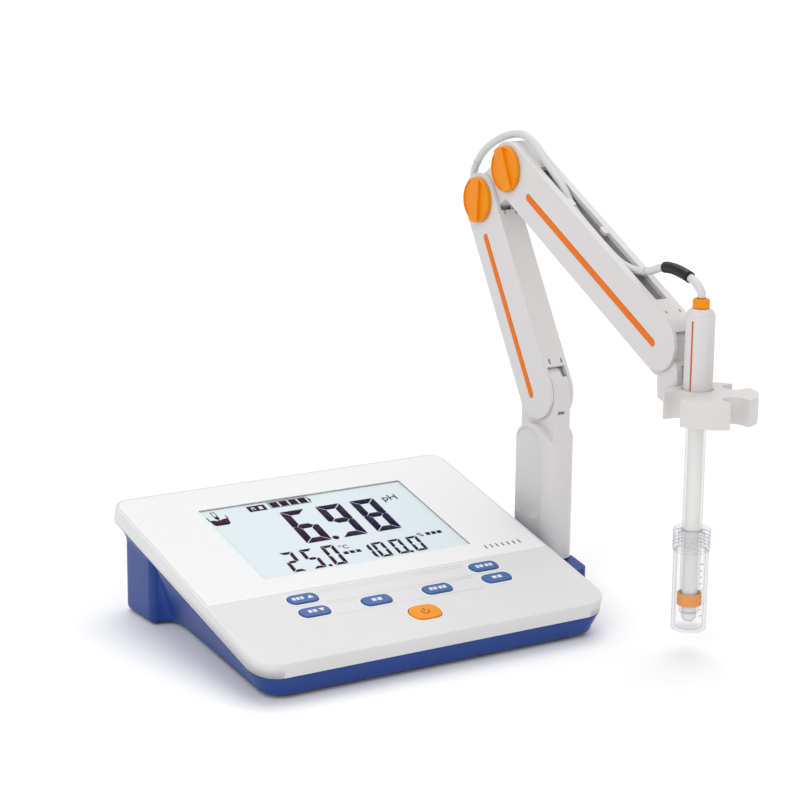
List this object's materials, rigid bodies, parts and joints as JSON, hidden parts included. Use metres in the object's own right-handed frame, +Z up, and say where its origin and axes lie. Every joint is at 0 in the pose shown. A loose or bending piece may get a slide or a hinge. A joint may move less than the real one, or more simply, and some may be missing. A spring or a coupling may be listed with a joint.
{
  "type": "bench ph meter",
  "caption": "Bench pH meter with a sloping display and keypad, and a swivelling two-part arm that holds an electrode in its storage vial.",
  "frame": {"origin": "below the middle of the whole instrument without its lead, on the table", "axes": "+X to the user's right, +Y to the back, +Z up"},
  "size_m": [0.2944, 0.3361, 0.2927],
  "materials": {
    "cover_grey": "fine satin moulding",
    "panel_white": "glossy",
    "clear_plastic": "clear",
    "lcd": "reflective display",
    "board": "solder mask",
    "rubber": "matte",
    "key_blue": "satin",
    "power_orange": "satin",
    "case_blue": "satin moulding",
    "arm_grey": "satin moulding",
    "orange": "satin",
    "steel": "bright",
    "black_plastic": "satin",
    "lead_grey": "soft jacket",
    "bulb_glass": "clear"
  },
  "bodies": {
    "base": {"bottom_case": "case_blue", "top_cover": "cover_grey", "display_panel": "panel_white", "display_window": "clear_plastic", "lcd_panel": "lcd", "lcd_backlight": "panel_white", "main_board": "board", "key_board": "board", "key_mat": "rubber", "foot_front_left": "rubber", "foot_front_right": "rubber", "foot_rear_left": "rubber", "foot_rear_right": "rubber", "case_screw_left": "steel", "case_screw_right": "steel", "seat_screw": "steel", "ph_socket": "steel", "temperature_socket": "black_plastic", "power_socket": "black_plastic", "data_port": "steel", "arm_seat": "case_blue", "seat_foot": "rubber", "lead_tail": "lead_grey", "lead_plug": "steel"},
    "column": {"column": "arm_grey", "lead_column": "lead_grey"},
    "lower_arm": {"lower_arm": "arm_grey", "lower_arm_stripe": "orange", "shoulder_pin": "steel", "nut_lower": "arm_grey", "lead_lower": "lead_grey"},
    "lower_rod": {"lower_rod": "steel"},
    "elbow_link": {"elbow_link": "arm_grey", "lead_elbow": "lead_grey"},
    "knob_lower": {"knob_lower": "orange"},
    "upper_arm": {"upper_arm": "arm_grey", "upper_arm_stripe": "orange", "nut_upper": "arm_grey", "lead_upper": "lead_grey"},
    "upper_rod": {"upper_rod": "steel"},
    "knob_upper": {"knob_upper": "orange"},
    "wrist": {"wrist_bracket": "arm_grey", "wrist_pin": "steel", "electrode_holder": "arm_grey", "lead_wrist": "lead_grey", "lead_sleeve": "black_plastic"},
    "electrode": {"electrode_handle": "arm_grey", "electrode_collar": "orange", "electrode_tube": "clear_plastic", "electrode_bulb": "bulb_glass", "tip_ring": "orange"},
    "vial_cap": {"vial_cap": "clear_plastic"},
    "vial_body": {"vial_body": "clear_plastic"},
    "key_upper_left": {"key_upper_left": "key_blue"},
    "key_lower_left": {"key_lower_left": "key_blue"},
    "key_middle_left": {"key_middle_left": "key_blue"},
    "key_middle_right": {"key_middle_right": "key_blue"},
    "key_upper_right": {"key_upper_right": "key_blue"},
    "key_lower_right": {"key_lower_right": "key_blue"},
    "key_power": {"key_power": "power_orange"}
  },
  "joints": [
    {"name": "column_swivel", "type": "hinge", "parent": "base", "child": "column", "pos_m": [0.11883, 0.0453, 0.03], "axis": [0, 0, 1], "range_deg": [-30, 120], "deforming": ["lead_tail"]},
    {"name": "lower_arm_tilt", "type": "hinge", "parent": "column", "child": "lower_arm", "pos_m": [0.11883, 0.0455, 0.129], "axis": [1, 0, 0], "range_deg": [-8, 35], "deforming": ["lead_column"]},
    {"name": "lower_rod_tilt", "type": "hinge", "parent": "column", "child": "lower_rod", "pos_m": [0.11883, 0.0367, 0.1356], "axis": [1, 0, 0], "range_deg": [-8, 35]},
    {"name": "elbow_level", "type": "hinge", "parent": "lower_arm", "child": "elbow_link", "pos_m": [0.11883, 0.1137, 0.2443], "axis": [1, 0, 0], "range_deg": [-35, 8], "deforming": ["lead_elbow"]},
    {"name": "knob_lower_turn", "type": "hinge", "parent": "lower_arm", "child": "knob_lower", "pos_m": [0.11883, 0.1137, 0.2443], "axis": [-1, 0, 0], "range_deg": [-180, 180]},
    {"name": "upper_arm_tilt", "type": "hinge", "parent": "elbow_link", "child": "upper_arm", "pos_m": [0.11883, 0.0817, 0.2681], "axis": [1, 0, 0], "range_deg": [-55, 3]},
    {"name": "upper_rod_tilt", "type": "hinge", "parent": "elbow_link", "child": "upper_rod", "pos_m": [0.11883, 0.0817, 0.2571], "axis": [1, 0, 0], "range_deg": [-55, 3]},
    {"name": "knob_upper_turn", "type": "hinge", "parent": "upper_arm", "child": "knob_upper", "pos_m": [0.11883, 0.0817, 0.2681], "axis": [-1, 0, 0], "range_deg": [-180, 180]},
    {"name": "wrist_level", "type": "hinge", "parent": "upper_arm", "child": "wrist", "pos_m": [0.11883, -0.0768, 0.1841], "axis": [1, 0, 0], "range_deg": [-3, 55], "deforming": ["lead_wrist"]},
    {"name": "electrode_slide", "type": "slide", "parent": "wrist", "child": "electrode", "axis": [0, 0, 1], "range_m": [0, 0.06], "deforming": ["lead_sleeve"]},
    {"name": "vial_pull", "type": "slide", "parent": "electrode", "child": "vial_cap", "axis": [0, 0, 1], "range_m": [-0.012, 0]},
    {"name": "vial_unscrew", "type": "hinge", "parent": "vial_cap", "child": "vial_body", "pos_m": [0.11883, -0.1063, 0.06], "axis": [0, 0, 1], "continuous": true},
    {"name": "key_upper_left_press", "type": "slide", "parent": "base", "child": "key_upper_left", "axis": [0, 0.2295, -0.9733], "range_m": [0, 0.0008], "stiffness_N_per_m": 1500, "deforming": ["key_mat"]},
    {"name": "key_lower_left_press", "type": "slide", "parent": "base", "child": "key_lower_left", "axis": [0, 0.2295, -0.9733], "range_m": [0, 0.0008], "stiffness_N_per_m": 1500},
    {"name": "key_middle_left_press", "type": "slide", "parent": "base", "child": "key_middle_left", "axis": [0, 0.2295, -0.9733], "range_m": [0, 0.0008], "stiffness_N_per_m": 1500},
    {"name": "key_middle_right_press", "type": "slide", "parent": "base", "child": "key_middle_right", "axis": [0, 0.2295, -0.9733], "range_m": [0, 0.0008], "stiffness_N_per_m": 1500},
    {"name": "key_upper_right_press", "type": "slide", "parent": "base", "child": "key_upper_right", "axis": [0, 0.2295, -0.9733], "range_m": [0, 0.0008], "stiffness_N_per_m": 1500},
    {"name": "key_lower_right_press", "type": "slide", "parent": "base", "child": "key_lower_right", "axis": [0, 0.2295, -0.9733], "range_m": [0, 0.0008], "stiffness_N_per_m": 1500},
    {"name": "key_power_press", "type": "slide", "parent": "base", "child": "key_power", "axis": [0, 0.2295, -0.9733], "range_m": [0, 0.0008], "stiffness_N_per_m": 1500}
  ],
  "couplings": [
    {"joint": "lower_rod_tilt", "follows": "lower_arm_tilt", "ratio": 1},
    {"joint": "elbow_level", "follows": "lower_arm_tilt", "ratio": -1},
    {"joint": "upper_rod_tilt", "follows": "upper_arm_tilt", "ratio": 1},
    {"joint": "wrist_level", "follows": "upper_arm_tilt", "ratio": -1}
  ]
}
